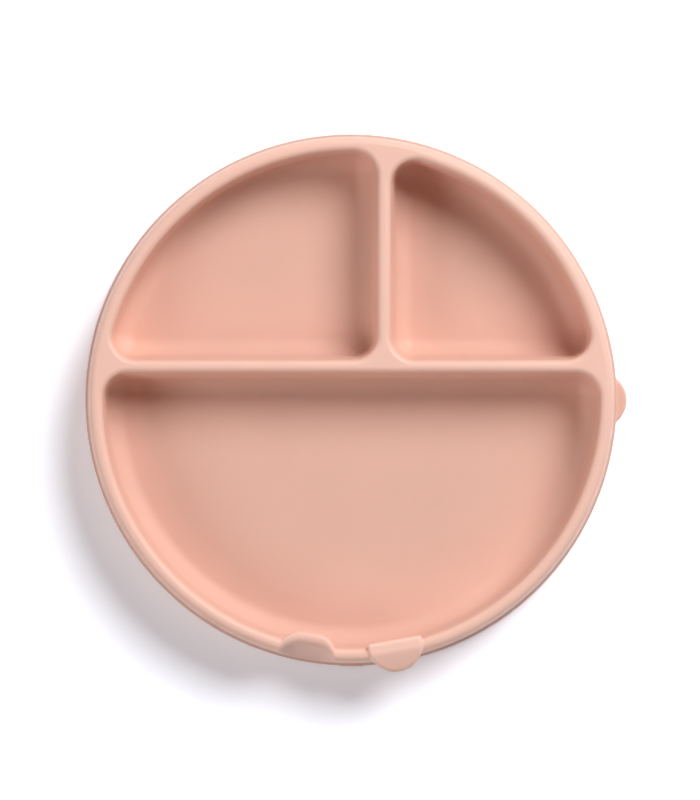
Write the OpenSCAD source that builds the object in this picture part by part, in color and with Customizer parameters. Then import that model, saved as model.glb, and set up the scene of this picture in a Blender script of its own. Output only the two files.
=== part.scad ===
// Divided baby plate, moulded in one piece of silicone.
// Millimetres, +Z up. The origin is on the axis of the round plate, on the table.
// Seen from above, the large compartment is at the front (-Y) and two smaller ones are behind it.

/* [Plate] */
// Height of the rim above the table
plate_h = 28; // [24:0.5:36]
// Outer radius of the rim
rim_r = 91.8; // [86:0.2:110]
// Width of the rim between its inner and outer faces
rim_w = 4.9; // [4.5:0.1:6]
// Radius that rounds the outer edge of the rim
rim_edge_r = 2.8; // [1:0.1:2.8]
// Radius that rounds the inner edge of the rim
inner_edge_r = 1.9; // [0.8:0.1:1.9]
// Draft of the outer wall, in degrees from upright
outer_draft = 3.7; // [3:0.1:9]
// Thickness of the floor between the compartments and the suction hollow
floor_t = 3; // [2:0.2:5]

/* [Foot] */
// Height of the foot that runs round the base
foot_h = 3.2; // [2.6:0.1:4]
// How far the foot stands out from the outer wall
foot_out = 1.6; // [1:0.1:3]
// Radius that rounds the edges of the foot
foot_edge_r = 0.6; // [0.3:0.1:1]
// Radius of the hollow corner between the foot and the outer wall
foot_fillet_r = 0.9; // [0.4:0.1:1.4]
// Width of the flat sealing face under the foot
seal_w = 8; // [5:0.5:14]
// Depth of the suction hollow under the plate
hollow_h = 2.6; // [1.5:0.1:4]
// Radius of the corner between the sealing face and the roof of the hollow
hollow_r = 2; // [1:0.1:2.6]

/* [Compartments] */
// Distance of the long divider behind the centre of the plate
long_divider_y = 11.4; // [-10:0.2:20]
// Width of the long divider between its upper edges
long_divider_w = 4; // [4:0.1:7]
// Distance of the short divider to the right of the centre of the plate
short_divider_x = 11.35; // [-20:0.05:20]
// Width of the short divider between its upper edges
short_divider_w = 4.2; // [4:0.1:7]
// Draft of the dividers' sides, in degrees from upright
divider_draft = 7; // [3:0.5:10]
// Radius that rounds the upper edges of the dividers
divider_edge_r = 2.1; // [0.8:0.1:2.1]
// Draft of the inside of the rim, in degrees from upright
inner_draft = 1.5; // [1:0.5:6]
// Radius between the walls and the floor of a compartment
floor_r = 6.5; // [3:0.5:8]
// Radius of a compartment's corners at the rim, seen from above
corner_r = 8.8; // [6:0.2:14]
// Smallest radius of a compartment's corners, reached at its floor
corner_min_r = 0.8; // [0.4:0.1:2]

/* [Finger notch] */
// Direction of the middle of the notch, in degrees from +X
notch_a = -100; // [-112:1:-96]
// Width of the notch along the rim
notch_w = 20; // [14:0.5:24]
// How far the notch turns the rim inwards
notch_d = 3.9; // [2:0.1:5]
// Height above the foot at which the notch has faded out of the outer wall
notch_above_foot = 2; // [1.5:0.5:8]
// Height above the floor at which its bulge has faded out inside the large compartment
bulge_above_floor = 5; // [3:0.5:9]

/* [Lift tab] */
// Direction of the lift tab on the rim, in degrees from +X
lift_tab_a = -79.9; // [-84:0.1:-60]
// Radius of the round end of the lift tab, which is half its width
lift_tab_r = 9.6; // [7:0.1:11]
// How far the centre of the round end lies inside the rim's outer edge
lift_tab_back = 4.1; // [1:0.1:6]
// How far the straight inner edge of the tab lies inside that centre
lift_tab_in = 2; // [1.6:0.2:4]
// Radius of the two corners of that inner edge, seen from above
lift_tab_corner_r = 1; // [0.4:0.1:1.2]
// Thickness of the lift tab
lift_tab_t = 2.8; // [2.7:0.1:4]
// How far the top of the tab stands above the rim
lift_tab_up = 1.5; // [0.5:0.1:2]
// Radius that rounds the tab's edges
lift_tab_edge_r = 1.3; // [0.8:0.1:1.3]
// How far inside the rim's outer edge the tab's flap begins to bend down
lift_tab_bend = 2.9; // [0.5:0.1:3]
// Length over which the flap bends
lift_tab_bend_w = 1.9; // [1:0.1:4]
// Slope of the flap beyond the bend, in degrees
lift_tab_slope = 23; // [0:1:30]

/* [Release tab] */
// Direction of the release tab at the foot, in degrees from +X
release_tab_a = 0; // [-20:1:60]
// Radius of the round end of the release tab
release_tab_r = 10; // [8:0.5:12]
// How far the release tab reaches beyond the foot
release_tab_out = 3.6; // [2:0.2:8]
// Thickness of the release tab
release_tab_t = 2; // [1.9:0.1:2.4]
// Radius that rounds the release tab's edges
release_tab_edge_r = 0.95; // [0.5:0.05:0.95]
// Gap under the release tab, for a fingernail
release_tab_gap = 0.3; // [0.2:0.1:0.6]

/* [Gate nub] */
// Direction of the small nub that the mould leaves on the foot, in degrees from +X
nub_a = -90; // [-120:1:-60]
// Width of the nub along the foot
nub_w = 8.4; // [4:0.2:12]
// How far the nub stands out
nub_out = 0.35; // [0.2:0.05:0.8]
// Height of the nub
nub_t = 1.2; // [0.8:0.1:1.6]

/* [Hidden] */
$fn = 180;

// Steps along each stretch of the rim between two corners or beside the notch
rim_n = 28;
// Steps round a corner of a compartment
corner_n = 8;
// Steps of the fillet round a compartment's floor
floor_n = 6;
// Steps that round an upper edge
edge_n = 5;
// Steps down a compartment's wall, where the notch's bulge fades in it and where it is plain
bulge_wall_n = 4;
plain_wall_n = 1;
// Steps across the notch
notch_n = 16;
// Levels of the notch between its foot and the rounded edge
notch_levels = 4;
// Share of the notch's half width at which its cut has left the wall
notch_reach = 1.12;
// Share of its height to which the notch's cut is carried down, just clear of the wall
notch_clear = 1.04;
// Narrowest share of the notch's width that the fading bulge keeps
bulge_reach = 0.3;
// Steps of the lift tab's round end, an odd number, and of each corner of its inner edge
tab_n = 25;
tab_corner_n = 2;
// Smallest radius of those corners, reached where the edge's rounding ends
tab_corner_min_r = 0.1;
// Steps of a tab's rounded edge
tab_edge_n = 4;
// Steps of the hollow's corner, and of the foot's lower edge, upper edge and hollow corner
hollow_n = 6;
foot_low_n = 3;
foot_high_n = 4;
foot_fillet_n = 4;
// How far a cut reaches past the surface that it opens
over = 1;

silicone = [0.93, 0.72, 0.64];

// Radius of the inner face of the rim, before its edge is rounded
inner_r = rim_r - rim_w;
// Level of the compartments' floors, and their depth below the rim
floor_z = hollow_h + floor_t;
depth = plate_h - floor_z;
// Radius of the outer wall where it meets the foot, and of the foot itself
wall_foot_r = rim_r + (plate_h - foot_h) * tan(outer_draft);
foot_r = wall_foot_r + foot_out;
// The roof of the suction hollow can't be rounded more than its depth
hollow_edge_r = min(hollow_r, hollow_h);
// Angle from the middle of the notch to its end
notch_half_a = notch_w / 2 / rim_r * 180 / PI;
// Heights over which the notch fades on the outer wall and on the inner wall
notch_h = plate_h - foot_h - notch_above_foot;
bulge_h = depth - bulge_above_floor;
// Faces of the dividers that the compartments start from
front_y = long_divider_y - long_divider_w / 2;
back_y = long_divider_y + long_divider_w / 2;
left_x = short_divider_x - short_divider_w / 2;
right_x = short_divider_x + short_divider_w / 2;

function polar(r, a) = r * [cos(a), sin(a)];

function angle_of(p) = atan2(p[1], p[0]);

// Points of an arc round c from angle a0 to a1, with both ends or with neither
function arc(c, r, a0, a1, n) = [for (i = [0:n]) c + polar(r, a0 + (a1 - a0) * i / n)];
function open_arc(r, a0, a1, n) = [for (i = [1:n - 1]) polar(r, a0 + (a1 - a0) * i / n)];

// Solid through a stack of closed outlines with as many points each, from the lowest up, and
// each anticlockwise from above. Both ends are flat, or else made of the faces in ends, which
// name the points of an outline.
module loft(rings, ends = []) {
    n = len(rings[0]);
    top = (len(rings) - 1) * n;
    caps = len(ends) > 0 ? ends : [[for (i = [0:n - 1]) i]];
    sides = [
        for (k = [0:len(rings) - 2], i = [0:n - 1])
            let (a = k * n + i, b = k * n + (i + 1) % n)
            each [[a, a + n, b + n], [a, b + n, b]]
    ];
    polyhedron(
        points = [for (ring = rings) each ring],
        faces = concat(caps, sides, [for (cap = caps) [for (i = [len(cap) - 1:-1:0]) top + cap[i]]]),
        convexity = 6
    );
}

function at_height(outline, z) = [for (p = outline) [p[0], p[1], z]];

// Heights at which the rounding of an upper edge is sampled, from the wall up to the rim
function edge_levels(r, draft) =
    [for (i = [0:edge_n]) plate_h - r + r * sin(draft + (90 - draft) * i / edge_n)];

// Radius of the outer wall at height z: drafted, with its upper edge rounded
function outer_r(z) =
    z < plate_h - rim_edge_r * (1 - sin(outer_draft))
    ? rim_r + (plate_h - z) * tan(outer_draft)
    : rim_r - rim_edge_r / cos(outer_draft) + rim_edge_r * tan(outer_draft)
        + sqrt(max(0, pow(rim_edge_r, 2) - pow(z - plate_h + rim_edge_r, 2)));

// How far a wall with some draft has moved in at height z: from the edge of radius r round it,
// down its side and round the fillet to the floor
function inset(z, draft, r) =
    let (
        edge_c = r * tan(draft) - r / cos(draft),
        floor_c = (depth - floor_r) * tan(draft) + floor_r / cos(draft)
    )
    z > plate_h - r * (1 - sin(draft))
    ? edge_c + sqrt(max(0, pow(r, 2) - pow(min(z, plate_h) - plate_h + r, 2)))
    : z < floor_z + floor_r * (1 - sin(draft))
    ? floor_c - sqrt(max(0, pow(floor_r, 2) - pow(floor_z + floor_r - z, 2)))
    : (plate_h - z) * tan(draft);

// How far the dividers' sides and the rim's inner face have moved in at height z
function divider_inset(z) = inset(z, divider_draft, divider_edge_r);
function rim_inset(z) = inset(z, inner_draft, inner_edge_r);

// Heights of the layers of a compartment, with wall_n steps between its fillet and its edge
function pocket_levels(wall_n) =
    let (
        fillet = [for (i = [0:floor_n]) floor_z + floor_r * (1 - cos((90 - divider_draft) * i / floor_n))],
        edge = edge_levels(divider_edge_r, divider_draft),
        low = fillet[floor_n],
        high = edge[0]
    )
    concat(
        fillet,
        [for (i = [1:1:wall_n - 1]) low + (high - low) * i / wall_n],
        edge,
        [plate_h + over]
    );

// Radius of a compartment's corners at height z, and of the rim's inner face there
function corner_at(z) = max(corner_min_r, corner_r - divider_inset(z));
function inside_r(z) = inner_r - rim_inset(z);

// Centre of a corner that touches the rim's inner face, on the line at x or on the line at y
function rim_corner_x(z, x) = [x, sqrt(pow(inside_r(z) - corner_at(z), 2) - x * x)];
function rim_corner_y(z, y, side) = [side * sqrt(pow(inside_r(z) - corner_at(z), 2) - y * y), y];

// Depth of the notch at t, the place across it from -1 to 1, where a share of it has faded out
function notch_depth(t, faded) = notch_d * (1 - pow(abs(t), 3) - faded);

// The rim's inner face along the bulge that the notch makes
function bulge_arc(z) =
    let (
        faded = min(1, max(0, plate_h - z) / bulge_h),
        reach = max(bulge_reach, pow(1 - faded, 1 / 3))
    )
    [
        for (i = [0:notch_n])
            let (t = reach * (2 * i / notch_n - 1))
            polar(inside_r(z) - max(0, notch_depth(t, faded)), notch_a + 360 + t * notch_half_a)
    ];

// Outlines of the three compartments at height z
function large_outline(z) =
    let (
        c = corner_at(z),
        y = front_y - divider_inset(z) - c,
        right = rim_corner_y(z, y, 1),
        left = rim_corner_y(z, y, -1),
        a = angle_of(right),
        bulge = bulge_arc(z)
    )
    concat(
        arc(right, c, a, 90, corner_n),
        arc(left, c, 90, 180 - a, corner_n),
        open_arc(inside_r(z), 180 - a, 360 + angle_of(bulge[0]), rim_n),
        bulge,
        open_arc(inside_r(z), 360 + angle_of(bulge[notch_n]), 360 + a, rim_n)
    );

function left_outline(z) =
    let (
        c = corner_at(z),
        x = left_x - divider_inset(z) - c,
        y = back_y + divider_inset(z) + c,
        top = rim_corner_x(z, x),
        side = rim_corner_y(z, y, -1)
    )
    concat(
        arc([x, y], c, -90, 0, corner_n),
        arc(top, c, 0, angle_of(top), corner_n),
        open_arc(inside_r(z), angle_of(top), angle_of(side), rim_n),
        arc(side, c, angle_of(side), 270, corner_n)
    );

function right_outline(z) =
    let (
        c = corner_at(z),
        x = right_x + divider_inset(z) + c,
        y = back_y + divider_inset(z) + c,
        top = rim_corner_x(z, x),
        side = rim_corner_y(z, y, 1)
    )
    concat(
        arc([x, y], c, 180, 270, corner_n),
        arc(side, c, -90, angle_of(side), corner_n),
        open_arc(inside_r(z), angle_of(side), angle_of(top), rim_n),
        arc(top, c, angle_of(top), 180, corner_n)
    );

module compartments() {
    loft([for (z = pocket_levels(bulge_wall_n)) at_height(large_outline(z), z)]);
    loft([for (z = pocket_levels(plain_wall_n)) at_height(left_outline(z), z)]);
    loft([for (z = pocket_levels(plain_wall_n)) at_height(right_outline(z), z)]);
}

// What the notch takes off the outer wall at height z
function notch_outline(z) =
    let (
        faded = max(0, plate_h - z) / notch_h,
        reach_a = notch_reach * notch_half_a,
        outside = foot_r + over + notch_d
    )
    concat(
        [polar(outside, notch_a - reach_a), polar(outside, notch_a + reach_a)],
        [
            for (i = [notch_n:-1:0])
                let (t = notch_reach * (2 * i / notch_n - 1))
                polar(outer_r(min(z, plate_h)) - notch_depth(t, faded), notch_a + t * notch_half_a)
        ]
    );

module notch_cut() {
    edge = edge_levels(rim_edge_r, outer_draft);
    foot = plate_h - notch_clear * notch_h;
    levels = concat(
        [for (i = [0:notch_levels - 1]) foot + (edge[0] - foot) * i / notch_levels],
        edge,
        [plate_h + over]
    );
    loft([for (z = levels) at_height(notch_outline(z), z)]);
}

// Section of the round body: the hollow, the sealing face, the foot, the wall and the rim
function body_section() = concat(
    [[0, hollow_h]],
    arc([foot_r - seal_w - hollow_edge_r, hollow_h - hollow_edge_r], hollow_edge_r, 90, 0, hollow_n),
    hollow_h > hollow_edge_r ? [[foot_r - seal_w, 0]] : [],
    arc([foot_r - foot_edge_r, foot_edge_r], foot_edge_r, -90, 0, foot_low_n),
    arc([foot_r - foot_edge_r, foot_h - foot_edge_r], foot_edge_r, 0, 90, foot_high_n),
    arc(
        [wall_foot_r + foot_fillet_r, foot_h + foot_fillet_r],
        foot_fillet_r, 270, 180 + outer_draft, foot_fillet_n
    ),
    [for (z = edge_levels(rim_edge_r, outer_draft)) [outer_r(z), z]],
    [[0, plate_h]]
);

// How far the lift tab has sunk at distance y from the plate's axis: its flap bends down at the
// rim and then slopes evenly to the tip
function flap_sag(y) =
    let (past = max(0, y - rim_r + lift_tab_bend))
    tan(lift_tab_slope)
        * (past < lift_tab_bend_w ? pow(past, 2) / 2 / lift_tab_bend_w : past - lift_tab_bend_w / 2);

// Outline of the lift tab along +Y, moved in all round: the round end, then the two corners of
// its straight inner edge
function lift_tab_outline(in) =
    let (
        c = rim_r - lift_tab_back,
        r = lift_tab_r - in,
        corner = max(tab_corner_min_r, lift_tab_corner_r - in),
        y = c - lift_tab_in + in + corner
    )
    concat(
        arc([0, c], r, 0, 180, tab_n),
        arc([corner - r, y], corner, 180, 270, tab_corner_n),
        arc([r - corner, y], corner, 270, 360, tab_corner_n)
    );

module lift_tab() {
    r = lift_tab_edge_r;
    n = len(lift_tab_outline(0));
    function ring(in, z) = [for (p = lift_tab_outline(in)) [p[0], p[1], z - flap_sag(p[1])]];
    shares = [for (i = [0:tab_edge_n]) 90 * i / tab_edge_n];
    // The outline's points pair up on the left and the right, so both faces of the tab are
    // strips across it, and each strip is flat
    strips = [
        for (i = [-tab_corner_n - 1:(tab_n - 3) / 2])
            [for (k = [i, i + 1, tab_n - i - 1, tab_n - i]) (k + n) % n]
    ];
    rotate([0, 0, lift_tab_a - 90])
        translate([0, 0, plate_h + lift_tab_up - lift_tab_t])
        loft(
            concat(
                [for (a = shares) ring(r * (1 - sin(a)), r * (1 - cos(a)))],
                [for (a = shares) ring(r * (1 - cos(a)), lift_tab_t - r * (1 - sin(a)))]
            ),
            strips
        );
}

// Section of a disc of radius r and thickness t whose edges are rounded by edge
function disc_section(r, t, edge) = concat(
    [[0, 0]],
    arc([r - edge, edge], edge, -90, 0, tab_edge_n),
    arc([r - edge, t - edge], edge, 0, 90, tab_edge_n),
    [[0, t]]
);

module release_tab() {
    root_r = foot_r - seal_w / 2;
    difference() {
        rotate([0, 0, release_tab_a])
            translate([foot_r + release_tab_out - release_tab_r, 0, release_tab_gap])
            rotate_extrude()
            polygon(disc_section(release_tab_r, release_tab_t, release_tab_edge_r));
        cylinder(r = root_r, h = foot_h);
    }
}

module gate_nub() {
    sweep = nub_w / foot_r * 180 / PI;
    rotate([0, 0, nub_a - sweep / 2])
        rotate_extrude(angle = sweep)
        translate([foot_r - over, foot_edge_r])
        square([over + nub_out, nub_t]);
}

module plate() {
    color(silicone) {
        difference() {
            rotate_extrude() polygon(body_section());
            compartments();
            notch_cut();
        }
        lift_tab();
        release_tab();
        gate_nub();
    }
}

plate();
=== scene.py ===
import math

import bmesh
import bpy
import numpy as np
from mathutils import Matrix, Vector
from mathutils.bvhtree import BVHTree
from mathutils.interpolate import poly_3d_calc


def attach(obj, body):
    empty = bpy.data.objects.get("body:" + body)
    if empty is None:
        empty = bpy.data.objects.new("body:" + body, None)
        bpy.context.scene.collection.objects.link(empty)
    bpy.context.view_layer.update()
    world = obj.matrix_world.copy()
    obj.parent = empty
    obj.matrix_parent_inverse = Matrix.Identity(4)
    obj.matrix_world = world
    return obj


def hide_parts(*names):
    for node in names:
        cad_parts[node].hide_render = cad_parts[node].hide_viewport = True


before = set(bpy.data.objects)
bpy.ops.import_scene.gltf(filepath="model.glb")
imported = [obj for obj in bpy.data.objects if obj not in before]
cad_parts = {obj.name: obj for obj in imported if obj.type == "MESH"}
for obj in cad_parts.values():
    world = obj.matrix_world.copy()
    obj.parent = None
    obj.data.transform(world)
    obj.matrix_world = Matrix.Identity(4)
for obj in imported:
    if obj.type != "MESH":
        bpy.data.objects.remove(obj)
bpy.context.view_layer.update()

# All sizes below are millimetres and all angles are degrees, unless a name says otherwise.
# The surfaces are built in millimetres and scaled to metres at the end.
MM = 0.001

# The round body: its rim, its outer wall, which leans out to the foot, and the hollow under it
PLATE_H = 28.0
RIM_R = 91.5
RIM_W = 4.3
RIM_OUTER_EDGE_R = 2.3
RIM_INNER_EDGE_R = 2.0
OUTER_DRAFT = 5.8
FLOOR_T = 3.0
HOLLOW_H = 2.6
HOLLOW_R = 2.0
FOOT_H = 3.2
FOOT_EDGE_R = 0.6
FOOT_FILLET_R = 0.6
FOOT_OUT = 1.0
SEAL_W = 8.0
WALL_FOOT_R = RIM_R + (PLATE_H - FOOT_H) * math.tan(math.radians(OUTER_DRAFT))
FOOT_R = WALL_FOOT_R + FOOT_OUT
FLOOR_Z = HOLLOW_H + FLOOR_T
INNER_R = RIM_R - RIM_W

# The compartments and the two dividers between them, whose places and widths are their crests'
LONG_DIVIDER_Y = 11.6
LONG_DIVIDER_W = 4.0
SHORT_DIVIDER_X = 11.5
SHORT_DIVIDER_W = 4.2
DIVIDER_EDGE_R = 2.1
DIVIDER_DRAFT = 7.0
INNER_DRAFT = 1.5
FLOOR_R = 6.5
CORNER_R = 8.8
CORNER_MIN_R = 0.8
FRONT_Y = LONG_DIVIDER_Y - LONG_DIVIDER_W / 2
BACK_Y = LONG_DIVIDER_Y + LONG_DIVIDER_W / 2
LEFT_X = SHORT_DIVIDER_X - SHORT_DIVIDER_W / 2
RIGHT_X = SHORT_DIVIDER_X + SHORT_DIVIDER_W / 2

# The finger notch, whose depth runs out at both ends and down the walls
NOTCH_A = -100.0
NOTCH_W = 20.0
NOTCH_D = 4.8
NOTCH_HALF_A = math.degrees(NOTCH_W / 2 / RIM_R)
# It has run out at these heights, above the foot outside and above the floor inside
NOTCH_ABOVE_FOOT = 2.0
NOTCH_ABOVE_FLOOR = 5.0
NOTCH_H = PLATE_H - FOOT_H - NOTCH_ABOVE_FOOT
BULGE_H = PLATE_H - FLOOR_Z - NOTCH_ABOVE_FLOOR
# Powers that shape its left and its right end, where a higher one makes a steeper end
NOTCH_LEFT_POWER = 3.0
NOTCH_RIGHT_POWER = 4.0
# Share of the depth over which the ends of the notch are softened
NOTCH_SOFT = 0.03
# Inside, the fading stops at this share, where no depth has been left for a while
NOTCH_FADED_MAX = 1.5

# The moulding's small nub on the foot, with edges softened over a short length
NUB_A = -90.0
NUB_HALF_W = 4.2
NUB_OUT = 0.35
NUB_Z = 1.2
NUB_HALF_T = 0.6
NUB_SOFT = 0.12

# Both tabs are a D with a straight inner edge. Their lower edges have at most the first radius,
# and the D's corners keep at least the second one where the outline is moved in.
TAB_LOW_EDGE_R = 0.95
TAB_MIN_CORNER_R = 0.05

# The lift tab on the rim, its flap bent down past the rim. Its centre, its inner edge and its
# bend are distances from the plate's axis.
LIFT_TAB_A = -79.9
LIFT_TAB_R = 9.6
LIFT_TAB_C = 87.3
LIFT_TAB_INNER = 85.3
LIFT_TAB_ABOVE_RIM = 1.5
LIFT_TAB_TOP = PLATE_H + LIFT_TAB_ABOVE_RIM
LIFT_TAB_T = 2.8
LIFT_TAB_EDGE_R = 1.4
LIFT_TAB_CORNER_R = 1.0
LIFT_TAB_BEND = 88.5
LIFT_TAB_BEND_W = 1.9
LIFT_TAB_SLOPE = 26.0
LIFT_TAB_TIP_SLOPE = 20.0
LIFT_TAB_FILLET_R = 0.8

# The release tab at the foot. It reaches this far out of the foot and into it.
RELEASE_TAB_OUT = 3.6
RELEASE_TAB_IN = 7.0
RELEASE_TAB_A = 0.0
RELEASE_TAB_R = 10.0
RELEASE_TAB_C = FOOT_R + RELEASE_TAB_OUT - RELEASE_TAB_R
RELEASE_TAB_INNER = FOOT_R - RELEASE_TAB_IN
RELEASE_TAB_TOP = 2.3
RELEASE_TAB_T = 2.0
RELEASE_TAB_EDGE_R = 0.95
RELEASE_TAB_CORNER_R = 0.5
RELEASE_TAB_FILLET_R = 0.5

# Steps of the mesh, round the plate, along its compartments' outlines and down its walls, and
# then round and across the tabs
ROUND_STEPS = 300
FINE_STEPS = 150
WALL_STEPS = 110
CORNER_STEPS = 22
LINE_STEPS = 30
EDGE_STEPS = 10
FLOOR_STEPS = 12
SIDE_STEPS = 22
FOOT_FILLET_STEPS = 5
FOOT_EDGE_STEPS = 6
FOOT_FACE_STEPS = 13
HOLLOW_STEPS = 8
TAB_ARC_STEPS = 80
TAB_CORNER_STEPS = 8
TAB_SIDE_STEPS = 8
TAB_INNER_STEPS = 40
TAB_RINGS = 26
# Size of the innermost ring on a tab's faces, as a share of the outline's
TAB_RING_MIN = 0.02
# Points of the surface that are closer than this are one
MERGE = 1e-4

# Angles between which the rim and the foot are sampled finely: from a little before the notch,
# as a multiple of its half angle, to a little past the nub
NOTCH_MARGIN = 1.15
NUB_MARGIN = 4.0
FINE_FROM = NOTCH_A - NOTCH_MARGIN * NOTCH_HALF_A
FINE_TO = NUB_A + NUB_MARGIN

# The fillets at the tabs take in points this far round a tab
FILLET_MARGIN = 1.0
# and this near to both the tab and the body, as a share of the fillet's radius
FILLET_REACH = 1.25
# Longer edges there are halved, in this many rounds
FILLET_MAX_EDGE = 0.375
FILLET_ROUNDS = 7
# Moves that bring a point onto the fillet, each divided by the squared slope or by this
FILLET_MOVES = 8
FILLET_MIN_SLOPE = 0.25


class Surface:
    """Points and faces of a surface, collected ring by ring."""

    def __init__(self):
        self.points = []
        self.faces = []

    def ring(self, points):
        """Adds a closed ring of points and returns their numbers."""
        first = len(self.points)
        self.points.extend(tuple(p) for p in points)
        return range(first, len(self.points))

    def band(self, a, b):
        """Joins two rings with as many points each by quads."""
        n = len(a)
        self.faces.extend((a[i], a[(i + 1) % n], b[(i + 1) % n], b[i]) for i in range(n))

    def bands(self, rings):
        """Adds a stack of rings, joined one to the next, and returns the first and the last."""
        numbers = [self.ring(points) for points in rings]
        for a, b in zip(numbers, numbers[1:]):
            self.band(a, b)
        return numbers[0], numbers[-1]

    def cap(self, ring):
        """Closes a flat ring with one face."""
        self.faces.append(tuple(ring))

    def bmesh(self):
        """The surface as a bmesh in millimetres, with points that coincide made one."""
        mesh = bpy.data.meshes.new("surface")
        mesh.from_pydata(self.points, [], self.faces)
        bm = bmesh.new()
        bm.from_mesh(mesh)
        bpy.data.meshes.remove(mesh)
        bmesh.ops.remove_doubles(bm, verts=bm.verts, dist=MERGE)
        return bm


def sin(degrees):
    return math.sin(math.radians(degrees))


def cos(degrees):
    return math.cos(math.radians(degrees))


def tan(degrees):
    return math.tan(math.radians(degrees))


def polar(r, a):
    """Points at radius r and angles a, either of which may be an array."""
    a = np.radians(a)
    return np.stack([r * np.cos(a), r * np.sin(a)], axis=-1)


def arc(centre, r, start, end, steps):
    """Points of an arc, without its last one."""
    return np.asarray(centre) + polar(r, np.linspace(start, end, steps, endpoint=False))


def line(p, q, steps=LINE_STEPS):
    """Points from p towards q, without q."""
    share = np.linspace(0, 1, steps, endpoint=False)[:, None]
    return np.asarray(p) + (np.asarray(q) - np.asarray(p)) * share


def angle_of(p):
    """Angle in degrees at which a point lies round the axis."""
    return math.degrees(math.atan2(p[1], p[0]))


def at_height(outline, z):
    """The points of a flat outline, lifted to height z."""
    return np.column_stack([outline, np.full(len(outline), z)])


def smooth_step(x):
    """Rises from 0 to 1 while x does, with no kink at either end."""
    x = np.clip(x, 0, 1)
    return x * x * (3 - 2 * x)


def notch_shape(angles, faded):
    """Share of the notch's depth at some angles, where part of it has faded out."""
    t = (angles - NOTCH_A) / NOTCH_HALF_A
    power = np.where(t < 0, NOTCH_LEFT_POWER, NOTCH_RIGHT_POWER)
    rise = 1 - np.abs(t) ** power - faded
    return (rise + np.sqrt(rise**2 + NOTCH_SOFT**2)) / 2


def wall_inset(z, draft, edge_r):
    """How far a compartment's wall has moved in at height z: round its upper edge, down its
    draft and round the fillet to the floor."""
    edge_c = edge_r * tan(draft) - edge_r / cos(draft)
    floor_c = (PLATE_H - FLOOR_Z - FLOOR_R) * tan(draft) + FLOOR_R / cos(draft)
    if z > PLATE_H - edge_r * (1 - sin(draft)):
        return edge_c + math.sqrt(max(0, edge_r**2 - (z - PLATE_H + edge_r) ** 2))
    if z < FLOOR_Z + FLOOR_R * (1 - sin(draft)):
        return floor_c - math.sqrt(max(0, FLOOR_R**2 - (FLOOR_Z + FLOOR_R - z) ** 2))
    return (PLATE_H - z) * tan(draft)


def divider_inset(z):
    """How far a divider's side has moved out at height z."""
    return wall_inset(z, DIVIDER_DRAFT, DIVIDER_EDGE_R)


def inside_r(z):
    """Radius of the rim's inner face at height z."""
    return INNER_R - wall_inset(z, INNER_DRAFT, RIM_INNER_EDGE_R)


def corner_r(z):
    """Radius of a compartment's corners in plan at height z."""
    return max(CORNER_MIN_R, CORNER_R - divider_inset(z))


def pocket_levels():
    """Heights of the rings of a compartment, from the rim down to the floor."""
    turns = np.linspace(90, DIVIDER_DRAFT, EDGE_STEPS + 1)
    edge = [PLATE_H - DIVIDER_EDGE_R * (1 - sin(a)) for a in turns]
    rises = np.linspace(90 - DIVIDER_DRAFT, 0, FLOOR_STEPS + 1)
    fillet = [FLOOR_Z + FLOOR_R * (1 - cos(a)) for a in rises]
    side = np.linspace(edge[-1], fillet[0], SIDE_STEPS + 1)[1:-1]
    return [*edge, *side, *fillet]


def rim_corner_x(z, x):
    """Centre of a corner that touches the rim's inner face, on the line at x."""
    return x, math.sqrt((inside_r(z) - corner_r(z)) ** 2 - x * x)


def rim_corner_y(z, y, side):
    """Centre of a corner that touches the rim's inner face, on the line at y."""
    return side * math.sqrt((inside_r(z) - corner_r(z)) ** 2 - y * y), y


def large_outline(z):
    """The large compartment at height z, anticlockwise from its right corner."""
    c = corner_r(z)
    right = rim_corner_y(z, FRONT_Y - divider_inset(z) - c, 1)
    left = (-right[0], right[1])
    turn = angle_of(right)
    angles = np.concatenate([
        np.linspace(180 - turn, 360 + FINE_FROM, WALL_STEPS, endpoint=False),
        np.linspace(360 + FINE_FROM, 360 + FINE_TO, FINE_STEPS, endpoint=False),
        np.linspace(360 + FINE_TO, 360 + turn, WALL_STEPS, endpoint=False),
    ])
    faded = min(NOTCH_FADED_MAX, (PLATE_H - z) / BULGE_H)
    bulge = NOTCH_D * notch_shape(angles - 360, faded)
    return np.concatenate([
        arc(right, c, turn, 90, CORNER_STEPS),
        line((right[0], right[1] + c), (left[0], left[1] + c), 2 * LINE_STEPS),
        arc(left, c, 90, 180 - turn, CORNER_STEPS),
        polar(inside_r(z) - bulge, angles),
    ])


def left_outline(z):
    """The left compartment at height z, anticlockwise from its corner at the dividers."""
    c = corner_r(z)
    x = LEFT_X - divider_inset(z) - c
    y = BACK_Y + divider_inset(z) + c
    top = rim_corner_x(z, x)
    side = rim_corner_y(z, y, -1)
    return np.concatenate([
        arc((x, y), c, -90, 0, CORNER_STEPS),
        line((x + c, y), (x + c, top[1])),
        arc(top, c, 0, angle_of(top), CORNER_STEPS),
        arc((0, 0), inside_r(z), angle_of(top), angle_of(side), WALL_STEPS),
        arc(side, c, angle_of(side), 270, CORNER_STEPS),
        line((side[0], y - c), (x, y - c)),
    ])


def right_outline(z):
    """The right compartment at height z, anticlockwise from its corner at the dividers."""
    c = corner_r(z)
    x = RIGHT_X + divider_inset(z) + c
    y = BACK_Y + divider_inset(z) + c
    top = rim_corner_x(z, x)
    side = rim_corner_y(z, y, 1)
    return np.concatenate([
        arc((x, y), c, 180, 270, CORNER_STEPS),
        line((x, y - c), (side[0], y - c)),
        arc(side, c, -90, angle_of(side), CORNER_STEPS),
        arc((0, 0), inside_r(z), angle_of(side), angle_of(top), WALL_STEPS),
        arc(top, c, angle_of(top), 180, CORNER_STEPS),
        line((x - c, top[1]), (x - c, y)),
    ])


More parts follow.
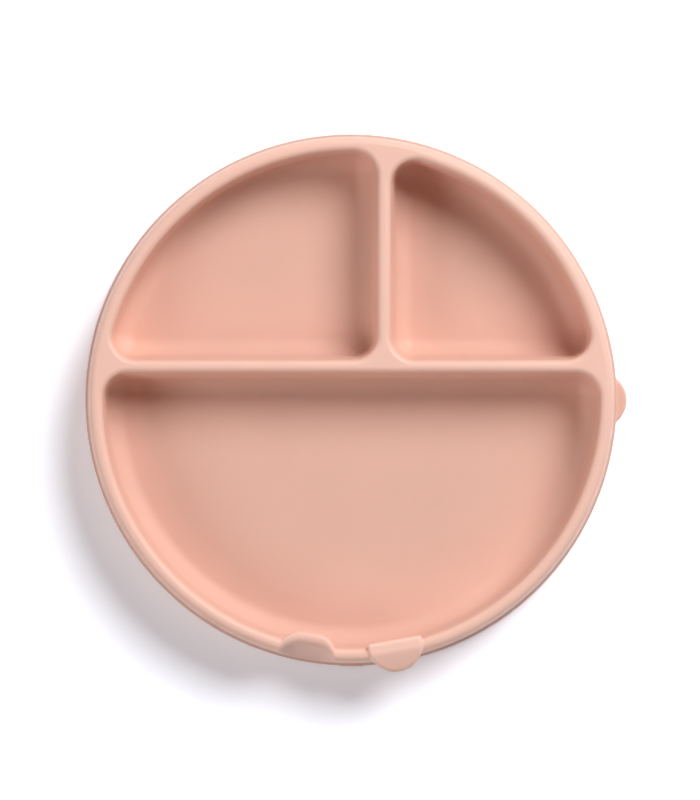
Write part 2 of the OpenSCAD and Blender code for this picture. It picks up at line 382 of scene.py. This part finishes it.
def round_angles():
    """Angles round the plate, close together across the notch and the nub."""
    return np.concatenate([
        np.linspace(FINE_FROM, FINE_TO, FINE_STEPS, endpoint=False),
        np.linspace(FINE_TO, FINE_FROM + 360, ROUND_STEPS, endpoint=False),
    ])


def section_arc(centre, r, start, end, steps):
    """An arc in the section of the body, as pairs of a radius and a height."""
    return [tuple(p) for p in np.asarray(centre) + polar(r, np.linspace(start, end, steps + 1))]


def body_section():
    """The outside of the body's section, from the rim down, round the foot and to the hollow."""
    edge_r = RIM_OUTER_EDGE_R
    edge_c = RIM_R - edge_r / cos(OUTER_DRAFT) + edge_r * tan(OUTER_DRAFT)
    edge = section_arc((edge_c, PLATE_H - edge_r), edge_r, 90, OUTER_DRAFT, EDGE_STEPS)
    fillet = section_arc(
        (WALL_FOOT_R + FOOT_FILLET_R, FOOT_H + FOOT_FILLET_R),
        FOOT_FILLET_R, 180 + OUTER_DRAFT, 270, FOOT_FILLET_STEPS,
    )
    share = np.linspace(0, 1, SIDE_STEPS + 1)[1:-1, None]
    side = np.array(edge[-1]) + (np.array(fillet[0]) - np.array(edge[-1])) * share
    foot_c = FOOT_R - FOOT_EDGE_R
    foot_top = FOOT_H - FOOT_EDGE_R
    upper = section_arc((foot_c, foot_top), FOOT_EDGE_R, 90, 0, FOOT_EDGE_STEPS)
    lower = section_arc((foot_c, FOOT_EDGE_R), FOOT_EDGE_R, 0, -90, FOOT_EDGE_STEPS)
    heights = np.linspace(foot_top, FOOT_EDGE_R, FOOT_FACE_STEPS + 1)[1:-1]
    face = [(FOOT_R, z) for z in heights]
    seal = [(FOOT_R - SEAL_W, 0.0)]
    hollow_c = (FOOT_R - SEAL_W - HOLLOW_R, HOLLOW_H - HOLLOW_R)
    hollow = section_arc(hollow_c, HOLLOW_R, 0, 90, HOLLOW_STEPS)
    return [*edge, *map(tuple, side), *fillet, *upper, *face, *lower, *seal, *hollow]


def nub_height(angles, z):
    """How far the nub stands out of the foot at some angles and a height."""
    across = (NUB_HALF_W - np.abs(np.radians(angles - NUB_A)) * FOOT_R) / NUB_SOFT
    upright = (NUB_HALF_T - abs(z - NUB_Z)) / NUB_SOFT
    return NUB_OUT * smooth_step(0.5 + across) * smooth_step(0.5 + upright)


def shell_ring(r, z):
    """The outside of the body at one point of its section, all the way round."""
    angles = round_angles()
    if r > WALL_FOOT_R and z < FOOT_H:
        r = r + nub_height(angles, z)
    elif z > FOOT_H:
        r = r - NOTCH_D * notch_shape(angles, (PLATE_H - z) / NOTCH_H)
    return at_height(polar(r, angles), z)


def body():
    """The plate without its tabs: the outside, the three compartments and the web between."""
    surface = Surface()
    section = body_section()
    _, roof = surface.bands([shell_ring(r, z) for r, z in section])
    surface.cap(roof)
    for outline in (large_outline, left_outline, right_outline):
        _, floor = surface.bands([at_height(outline(z), z) for z in pocket_levels()])
        surface.cap(floor)
    bm = surface.bmesh()
    rim_edges = [e for e in bm.edges if e.is_boundary]
    bmesh.ops.triangle_fill(bm, use_beauty=True, edges=rim_edges)
    bmesh.ops.recalc_face_normals(bm, faces=bm.faces)
    return bm


def tab_outline(r, centre, inner, corner, inset):
    """A D with its round end along +Y and a straight inner edge, moved in all round."""
    r = r - inset
    inner = inner + inset
    corner = max(TAB_MIN_CORNER_R, corner - inset)
    return np.concatenate([
        arc((0, centre), r, 0, 180, TAB_ARC_STEPS),
        line((-r, centre), (-r, inner + corner), TAB_SIDE_STEPS),
        arc((corner - r, inner + corner), corner, 180, 270, TAB_CORNER_STEPS),
        line((corner - r, inner), (r - corner, inner), TAB_INNER_STEPS),
        arc((r - corner, inner + corner), corner, 270, 360, TAB_CORNER_STEPS),
        line((r, inner + corner), (r, centre), TAB_SIDE_STEPS),
    ])


def flat_sag(y):
    """A tab that isn't bent."""
    return np.zeros_like(y)


def lift_sag(y):
    """How far the lift tab's flap has dropped at distance y from the axis."""
    past = np.maximum(0, y - LIFT_TAB_BEND)
    reach = LIFT_TAB_C + LIFT_TAB_R - LIFT_TAB_BEND
    bend = LIFT_TAB_BEND_W
    steep, gentle = tan(LIFT_TAB_SLOPE), tan(LIFT_TAB_TIP_SLOPE)
    bent = steep * np.where(past < bend, past**2 / (2 * bend), past - bend / 2)
    eased = (steep - gentle) * np.maximum(0, past - bend) ** 2 / (2 * (reach - bend))
    return bent - eased


def tab(r, centre, inner, corner, top, thickness, edge_r, sag):
    """A flat tab with rounded edges that drops by sag(y), pointing along +Y."""
    low_r = min(TAB_LOW_EDGE_R, thickness - edge_r)
    middle = np.array([0, (centre + r + inner) / 2])
    turns = np.linspace(0, 90, EDGE_STEPS + 1)

    def ring(inset, z, size=1.0):
        points = middle + size * (tab_outline(r, centre, inner, corner, inset) - middle)
        return np.column_stack([points, z - sag(points[:, 1])])

    sizes = np.linspace(TAB_RING_MIN, 1, TAB_RINGS)[:-1]
    bottom = top - thickness
    rings = [ring(low_r, bottom, size) for size in sizes]
    rings += [ring(low_r * (1 - sin(a)), bottom + low_r * (1 - cos(a))) for a in turns]
    rings += [ring(edge_r * (1 - cos(a)), top - edge_r * (1 - sin(a))) for a in turns]
    rings += [ring(edge_r, top, size) for size in sizes[::-1]]
    surface = Surface()
    first, last = surface.bands(rings)
    surface.cap(first)
    surface.cap(last)
    bm = surface.bmesh()
    bmesh.ops.recalc_face_normals(bm, faces=bm.faces)
    return bm


def lift_tab():
    """The lift tab, in its place on the rim."""
    bm = tab(
        LIFT_TAB_R, LIFT_TAB_C, LIFT_TAB_INNER, LIFT_TAB_CORNER_R, LIFT_TAB_TOP, LIFT_TAB_T,
        LIFT_TAB_EDGE_R, lift_sag,
    )
    bm.transform(Matrix.Rotation(math.radians(LIFT_TAB_A - 90), 4, "Z"))
    return bm


def release_tab():
    """The release tab, in its place at the foot."""
    bm = tab(
        RELEASE_TAB_R, RELEASE_TAB_C, RELEASE_TAB_INNER, RELEASE_TAB_CORNER_R,
        RELEASE_TAB_TOP, RELEASE_TAB_T, RELEASE_TAB_EDGE_R, flat_sag,
    )
    bm.transform(Matrix.Rotation(math.radians(RELEASE_TAB_A - 90), 4, "Z"))
    return bm


def to_object(name, bm):
    """A linked object with the bmesh as its mesh. The bmesh is freed."""
    mesh = bpy.data.meshes.new(name)
    bm.to_mesh(mesh)
    bm.free()
    obj = bpy.data.objects.new(name, mesh)
    bpy.context.scene.collection.objects.link(obj)
    return obj


class Distance:
    """The signed distance from an object's surface, and the direction in which it grows."""

    def __init__(self, obj):
        mesh = obj.data
        mesh.calc_loop_triangles()
        self.points = [v.co.copy() for v in mesh.vertices]
        self.normals = [Vector(n.vector) for n in mesh.vertex_normals]
        self.triangles = [tuple(t.vertices) for t in mesh.loop_triangles]
        self.tree = BVHTree.FromPolygons(self.points, self.triangles)

    def at(self, p):
        """The distance at a point, and its direction there, smoothed across the triangle."""
        near, _, index, _ = self.tree.find_nearest(p)
        corners = self.triangles[index]
        weights = poly_3d_calc([self.points[i] for i in corners], near)
        normal = Vector((0, 0, 0))
        for i, weight in zip(corners, weights):
            normal += self.normals[i] * weight
        normal.normalize()
        return (p - near).dot(normal), normal


def union(obj, other):
    """Joins another closed mesh to an object, and removes it."""
    modifier = obj.modifiers.new("union", "BOOLEAN")
    modifier.operation = "UNION"
    modifier.solver = "EXACT"
    modifier.object = other
    bpy.context.view_layer.update()
    depsgraph = bpy.context.evaluated_depsgraph_get()
    joined = bpy.data.meshes.new_from_object(obj.evaluated_get(depsgraph))
    obj.modifiers.clear()
    obj.data = joined
    bpy.data.objects.remove(other)


def fillet_step(p, first, second, radius):
    """Moves a point onto the surface that rounds the hollow corner between two solids."""
    a, to_a = first.at(p)
    b, to_b = second.at(p)
    u = max(0, radius - a)
    v = max(0, radius - b)
    if u == 0 and v == 0:
        return p
    spread = math.hypot(u, v)
    slope = (to_a * u + to_b * v) / spread
    gap = max(radius, min(a, b)) - spread
    return p - slope * (gap / max(FILLET_MIN_SLOPE, slope.length_squared))


def limits(obj):
    """Lowest and highest corner of an object's mesh."""
    points = [v.co for v in obj.data.vertices]
    return Vector(map(min, zip(*points))), Vector(map(max, zip(*points)))


def long_edges(verts):
    """Edges at some vertices that are too long for a fillet, the longest first."""
    edges = {e for v in verts for e in v.link_edges if e.calc_length() > FILLET_MAX_EDGE}
    return sorted(edges, key=lambda e: (-e.calc_length(), e.index))


def split_edge(edge):
    """Halves an edge between two triangles, and both triangles with it."""
    _, middle = bmesh.utils.edge_split(edge, edge.verts[0], 0.5)
    for face in list(middle.link_faces):
        corner = next(c for c in face.loops if c.vert is middle)
        bmesh.utils.face_split(face, middle, corner.link_loop_next.link_loop_next.vert)
    return middle


def fillet(obj, first, second, low, high, radius):
    """Rounds the hollow corner where two solids joined in an object meet, within a box."""
    reach = FILLET_REACH * radius

    def is_near(p):
        if any(p[i] < low[i] or p[i] > high[i] for i in range(3)):
            return False
        return abs(second.at(p)[0]) < reach and abs(first.at(p)[0]) < reach

    bm = bmesh.new()
    bm.from_mesh(obj.data)
    bmesh.ops.dissolve_verts(bm, verts=[v for v in bm.verts if len(v.link_edges) == 2])
    bm.faces.index_update()
    near = {v for v in bm.verts if is_near(v.co)}
    around = {f for v in near for f in v.link_faces if len(f.verts) > 3}
    bmesh.ops.triangulate(bm, faces=sorted(around, key=lambda f: f.index))
    for _ in range(FILLET_ROUNDS):
        bm.edges.index_update()
        made = [split_edge(edge) for edge in long_edges(near)]
        near.update(v for v in made if is_near(v.co))
    for vert in near:
        p = vert.co.copy()
        for _ in range(FILLET_MOVES):
            p = fillet_step(p, first, second, radius)
        vert.co = p
    bm.to_mesh(obj.data)
    bm.free()


def shade_smooth(mesh):
    """Smooth shading with normals weighted by area, so that flat faces stay flat."""
    mesh.polygons.foreach_set("use_smooth", [True] * len(mesh.polygons))
    mesh.calc_loop_triangles()
    points = np.empty(len(mesh.vertices) * 3)
    mesh.vertices.foreach_get("co", points)
    points = points.reshape(-1, 3)
    corners = np.empty(len(mesh.loop_triangles) * 3, dtype=int)
    mesh.loop_triangles.foreach_get("vertices", corners)
    corners = corners.reshape(-1, 3)
    a, b, c = (points[corners[:, i]] for i in range(3))
    across = np.cross(b - a, c - a)
    normals = np.zeros_like(points)
    for i in range(3):
        np.add.at(normals, corners[:, i], across)
    normals /= np.maximum(1e-20, np.linalg.norm(normals, axis=1))[:, None]
    mesh.normals_split_custom_set_from_vertices(normals.tolist())


# The silicone lets light in a little way, the red part of it the furthest, and has a faint sheen
SUBSURFACE_WEIGHT = 0.2
SUBSURFACE_DEPTH = 1.5
SUBSURFACE_SHARES = (1.0, 0.45, 0.3)
SHEEN_WEIGHT = 0.05
SHEEN_ROUGHNESS = 0.5
# Two tones of its colour, mixed by large soft clouds between two of their values
TONE_DARK = (0.755, 0.455, 0.363, 1)
TONE_LIGHT = (0.775, 0.47, 0.375, 1)
TONE_FROM = 0.3
TONE_TO = 0.7
CLOUD_SCALE = 28
CLOUD_DETAIL = 3
# Painted light: towards this colour the crests of the rim, the dividers and the tab are lightened
# between two heights, the highest the most, standing in for the fuller light that falls on them
CREST_PAINTED_LIGHT_COLOUR = (0.895, 0.567, 0.467, 1)
CREST_FROM = 26.0
CREST_FULL = 29.5
# The crests are glossier than the compartments, and the outer wall by this share of that
WALL_GLOSS = 0.5
SPECULAR = 0.3
CREST_SPECULAR = 0.55
# Roughness in the lows and on the highs of the fine grain, and how much less a crest has
ROUGHNESS_LOW = 0.5
ROUGHNESS_HIGH = 0.6
CREST_POLISH = 0.12
GRAIN_SCALE = 2600
GRAIN_DETAIL = 2
GRAIN_STRENGTH = 0.12
GRAIN_DEPTH = 0.05


def painted_light_and_gloss_share(nodes, links, place):
    """0 in the compartments and on the walls, and more the higher a crest reaches: the share of
    painted light in a crest's colour, and of its extra gloss.
    """
    height = nodes.new("ShaderNodeSeparateXYZ")
    links.new(place.outputs["Object"], height.inputs["Vector"])
    painted_crest_light_and_gloss = nodes.new("ShaderNodeMapRange")
    painted_crest_light_and_gloss.inputs["From Min"].default_value = CREST_FROM * MM
    painted_crest_light_and_gloss.inputs["From Max"].default_value = CREST_FULL * MM
    links.new(height.outputs["Z"], painted_crest_light_and_gloss.inputs["Value"])
    return painted_crest_light_and_gloss.outputs["Result"]


def gloss_share(nodes, links, place, painted_crest_light_and_gloss):
    """The share of the crests, and on the outer wall at least the wall's own share."""
    sideways = nodes.new("ShaderNodeVectorMath")
    sideways.operation = "MULTIPLY"
    sideways.inputs[1].default_value = (1, 1, 0)
    links.new(place.outputs["Object"], sideways.inputs[0])
    radius = nodes.new("ShaderNodeVectorMath")
    radius.operation = "LENGTH"
    links.new(sideways.outputs["Vector"], radius.inputs[0])
    outside = nodes.new("ShaderNodeMapRange")
    outside.interpolation_type = "SMOOTHSTEP"
    outside.inputs["From Min"].default_value = (RIM_R - RIM_OUTER_EDGE_R) * MM
    outside.inputs["From Max"].default_value = RIM_R * MM
    outside.inputs["To Max"].default_value = WALL_GLOSS
    links.new(radius.outputs["Value"], outside.inputs["Value"])
    glossy = nodes.new("ShaderNodeMath")
    glossy.operation = "MAXIMUM"
    links.new(painted_crest_light_and_gloss, glossy.inputs[0])
    links.new(outside.outputs["Result"], glossy.inputs[1])
    return glossy.outputs["Value"]


def silicone():
    """Matt moulded silicone: a soft peach body colour with a fine grain, a faint sheen and painted
    light on its crests.
    """
    material = bpy.data.materials.new("silicone")
    material.use_nodes = True
    nodes = material.node_tree.nodes
    links = material.node_tree.links
    shader = nodes["Principled BSDF"]
    shader.inputs["Subsurface Weight"].default_value = SUBSURFACE_WEIGHT
    shader.inputs["Subsurface Radius"].default_value = SUBSURFACE_SHARES
    shader.inputs["Subsurface Scale"].default_value = SUBSURFACE_DEPTH * MM
    shader.inputs["Sheen Weight"].default_value = SHEEN_WEIGHT
    shader.inputs["Sheen Roughness"].default_value = SHEEN_ROUGHNESS

    place = nodes.new("ShaderNodeTexCoord")
    cloud = nodes.new("ShaderNodeTexNoise")
    cloud.inputs["Scale"].default_value = CLOUD_SCALE
    cloud.inputs["Detail"].default_value = CLOUD_DETAIL
    links.new(place.outputs["Object"], cloud.inputs["Vector"])
    tint = nodes.new("ShaderNodeValToRGB")
    tint.color_ramp.elements[0].position = TONE_FROM
    tint.color_ramp.elements[0].color = TONE_DARK
    tint.color_ramp.elements[1].position = TONE_TO
    tint.color_ramp.elements[1].color = TONE_LIGHT
    links.new(cloud.outputs["Fac"], tint.inputs["Fac"])

    painted_crest_light_and_gloss = painted_light_and_gloss_share(nodes, links, place)
    # Painted light: the crests' colour is lightened towards a paler peach, the more the higher
    # they stand.
    painted_crest_light = nodes.new("ShaderNodeMix")
    painted_crest_light.data_type = "RGBA"
    links.new(painted_crest_light_and_gloss, painted_crest_light.inputs["Factor"])
    links.new(tint.outputs["Color"], painted_crest_light.inputs["A"])
    painted_crest_light.inputs["B"].default_value = CREST_PAINTED_LIGHT_COLOUR
    links.new(painted_crest_light.outputs["Result"], shader.inputs["Base Color"])

    glossy = gloss_share(nodes, links, place, painted_crest_light_and_gloss)
    shine = nodes.new("ShaderNodeMapRange")
    shine.inputs["To Min"].default_value = SPECULAR
    shine.inputs["To Max"].default_value = CREST_SPECULAR
    links.new(glossy, shine.inputs["Value"])
    links.new(shine.outputs["Result"], shader.inputs["Specular IOR Level"])

    grain = nodes.new("ShaderNodeTexNoise")
    grain.inputs["Scale"].default_value = GRAIN_SCALE
    grain.inputs["Detail"].default_value = GRAIN_DETAIL
    links.new(place.outputs["Object"], grain.inputs["Vector"])
    rough = nodes.new("ShaderNodeMapRange")
    rough.inputs["To Min"].default_value = ROUGHNESS_LOW
    rough.inputs["To Max"].default_value = ROUGHNESS_HIGH
    links.new(grain.outputs["Fac"], rough.inputs["Value"])
    polish = nodes.new("ShaderNodeMath")
    polish.operation = "MULTIPLY_ADD"
    polish.inputs[1].default_value = -CREST_POLISH
    links.new(glossy, polish.inputs[0])
    links.new(rough.outputs["Result"], polish.inputs[2])
    links.new(polish.outputs["Value"], shader.inputs["Roughness"])
    bump = nodes.new("ShaderNodeBump")
    bump.inputs["Strength"].default_value = GRAIN_STRENGTH
    bump.inputs["Distance"].default_value = GRAIN_DEPTH * MM
    links.new(grain.outputs["Fac"], bump.inputs["Height"])
    links.new(bump.outputs["Normal"], shader.inputs["Normal"])
    return material


def plate():
    """The whole moulding in one piece: the body, joined with both tabs and filleted at them."""
    obj = to_object("plate_moulding", body())
    lift = to_object("lift_tab", lift_tab())
    release = to_object("release_tab", release_tab())
    round_body = Distance(obj)
    lift_form = Distance(lift)
    release_form = Distance(release)
    margin = Vector((FILLET_MARGIN, FILLET_MARGIN, FILLET_MARGIN))
    lift_low, lift_high = limits(lift)
    release_low, release_high = limits(release)
    # The release tab has its fillet on the upper side only.
    release_low.z = RELEASE_TAB_TOP - RELEASE_TAB_T / 2
    union(obj, lift)
    union(obj, release)
    fillet(obj, round_body, lift_form, lift_low - margin, lift_high + margin, LIFT_TAB_FILLET_R)
    fillet(obj, round_body, release_form, release_low, release_high + margin, RELEASE_TAB_FILLET_R)
    obj.data.transform(Matrix.Scale(MM, 4))
    shade_smooth(obj.data)
    obj.data.materials.clear()
    obj.data.materials.append(silicone())
    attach(obj, "root")
    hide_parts("plate")
    return obj


# The camera looks down from a little left of and below the plate in the picture. Its lens
# makes the 800 pixels of the picture's height span the given length of the table.
CAMERA_AT = Vector((-4.0, -7.5, 1200.0)) * MM
CAMERA_AIM = Vector((-0.4, 0.0, 0.0)) * MM
PICTURE_SPAN = 286.7 * MM
SENSOR = 36.0
CAMERA_NEAR = 50.0 * MM
CAMERA_FAR = 50000.0 * MM

# Two soft boxes light the plate: the key light from behind on the right, and a weaker one from
# the left. A strength is that on a surface which faces the box, and an angle is the one that
# the box fills as seen from the plate.
KEY_AZIMUTH = 50.0
KEY_ELEVATION = 45.5
KEY_STRENGTH = 3.17
KEY_ANGLE = 31.0
FILL_AZIMUTH = 202.0
FILL_ELEVATION = 38.0
FILL_STRENGTH = 1.05
FILL_ANGLE = 25.0
BOX_DISTANCE = 2400.0 * MM
# The studio round them is light at the horizon and dark from this share of the height up
HORIZON_STRENGTH = 1.15
HORIZON_REACH = 0.6

# The floor is near-white paper to the plate. The camera and mirrors see a second layer on it,
# which makes it pure white wherever the plate's shadow doesn't reach.
FLOOR_COLOUR = (0.74, 0.73, 0.755)
FLOOR_LIFT = (0.57, 0.6, 0.66)
FLOOR_ROUGHNESS = 0.9
FLOOR_SIZE = 6000.0 * MM
FLOOR_GAP = 0.05 * MM


def add_camera():
    """The photo's camera, with +Y up in the picture."""
    data = bpy.data.cameras.new("camera")
    data.sensor_width = SENSOR
    data.lens = SENSOR * (CAMERA_AT - CAMERA_AIM).length / PICTURE_SPAN
    data.clip_start = CAMERA_NEAR
    data.clip_end = CAMERA_FAR
    camera = bpy.data.objects.new("camera", data)
    forward = (CAMERA_AIM - CAMERA_AT).normalized()
    right = forward.cross(Vector((0, 1, 0))).normalized()
    up = right.cross(forward)
    turn = Matrix((right, up, -forward)).transposed().to_4x4()
    camera.matrix_world = Matrix.Translation(CAMERA_AT) @ turn
    bpy.context.scene.collection.objects.link(camera)
    bpy.context.scene.camera = camera


def add_box(name, azimuth, elevation, strength, angle):
    """A round soft box that faces the plate."""
    data = bpy.data.lights.new(name, "AREA")
    data.shape = "DISK"
    data.size = 2 * BOX_DISTANCE * tan(angle / 2)
    data.energy = strength * math.pi * BOX_DISTANCE**2
    lamp = bpy.data.objects.new(name, data)
    towards = Vector((
        cos(elevation) * cos(azimuth), cos(elevation) * sin(azimuth), sin(elevation),
    ))
    lamp.location = towards * BOX_DISTANCE
    lamp.rotation_euler = towards.to_track_quat("Z", "Y").to_euler()
    bpy.context.scene.collection.objects.link(lamp)


def seen_or_mirrored(nodes, links):
    """1 for rays from the camera and for those that a mirror or glass sends on, otherwise 0."""
    path = nodes.new("ShaderNodeLightPath")
    total = path.outputs["Is Camera Ray"]
    for name in ("Is Glossy Ray", "Is Transmission Ray"):
        either = nodes.new("ShaderNodeMath")
        either.operation = "MAXIMUM"
        links.new(total, either.inputs[0])
        links.new(path.outputs[name], either.inputs[1])
        total = either.outputs["Value"]
    return total


def add_studio():
    """Light from the horizon round the plate, and a white surround for the camera."""
    world = bpy.data.worlds.new("studio")
    world.use_nodes = True
    nodes = world.node_tree.nodes
    links = world.node_tree.links
    place = nodes.new("ShaderNodeTexCoord")
    height = nodes.new("ShaderNodeSeparateXYZ")
    fade = nodes.new("ShaderNodeMapRange")
    fade.inputs["From Max"].default_value = HORIZON_REACH
    fade.inputs["To Min"].default_value = HORIZON_STRENGTH
    fade.inputs["To Max"].default_value = 0.0
    links.new(place.outputs["Generated"], height.inputs["Vector"])
    links.new(height.outputs["Z"], fade.inputs["Value"])
    horizon = nodes["Background"]
    horizon.inputs["Color"].default_value = (1, 1, 1, 1)
    links.new(fade.outputs["Result"], horizon.inputs["Strength"])
    white = nodes.new("ShaderNodeBackground")
    white.inputs["Color"].default_value = (1, 1, 1, 1)
    white.inputs["Strength"].default_value = 1
    mix = nodes.new("ShaderNodeMixShader")
    links.new(seen_or_mirrored(nodes, links), mix.inputs["Fac"])
    links.new(horizon.outputs["Background"], mix.inputs[1])
    links.new(white.outputs["Background"], mix.inputs[2])
    links.new(mix.outputs["Shader"], nodes["World Output"].inputs["Surface"])
    bpy.context.scene.world = world


def floor_material():
    """White paper that keeps the plate's shadow and shows pure white where the light is full."""
    material = bpy.data.materials.new("floor")
    material.use_nodes = True
    nodes = material.node_tree.nodes
    links = material.node_tree.links
    paper = nodes["Principled BSDF"]
    paper.inputs["Base Color"].default_value = (*FLOOR_COLOUR, 1)
    paper.inputs["Roughness"].default_value = FLOOR_ROUGHNESS
    paper.inputs["Specular IOR Level"].default_value = 0.0
    lift = nodes.new("ShaderNodeBsdfDiffuse")
    lift.inputs["Color"].default_value = (*FLOOR_LIFT, 1)
    seen = nodes.new("ShaderNodeMixShader")
    links.new(seen_or_mirrored(nodes, links), seen.inputs["Fac"])
    links.new(lift.outputs["BSDF"], seen.inputs[2])
    both = nodes.new("ShaderNodeAddShader")
    links.new(paper.outputs["BSDF"], both.inputs[0])
    links.new(seen.outputs["Shader"], both.inputs[1])
    links.new(both.outputs["Shader"], nodes["Material Output"].inputs["Surface"])
    return material


def add_floor():
    """The floor, just under the plate."""
    bpy.ops.mesh.primitive_plane_add(size=FLOOR_SIZE, location=(0, 0, -FLOOR_GAP))
    floor = bpy.context.object
    floor.name = "floor"
    floor.data.materials.append(floor_material())


plate()
add_floor()
add_box("key_box", KEY_AZIMUTH, KEY_ELEVATION, KEY_STRENGTH, KEY_ANGLE)
add_box("fill_box", FILL_AZIMUTH, FILL_ELEVATION, FILL_STRENGTH, FILL_ANGLE)
add_studio()
add_camera()
bpy.context.scene.view_settings.view_transform = "Standard"

bpy.context.view_layer.update()
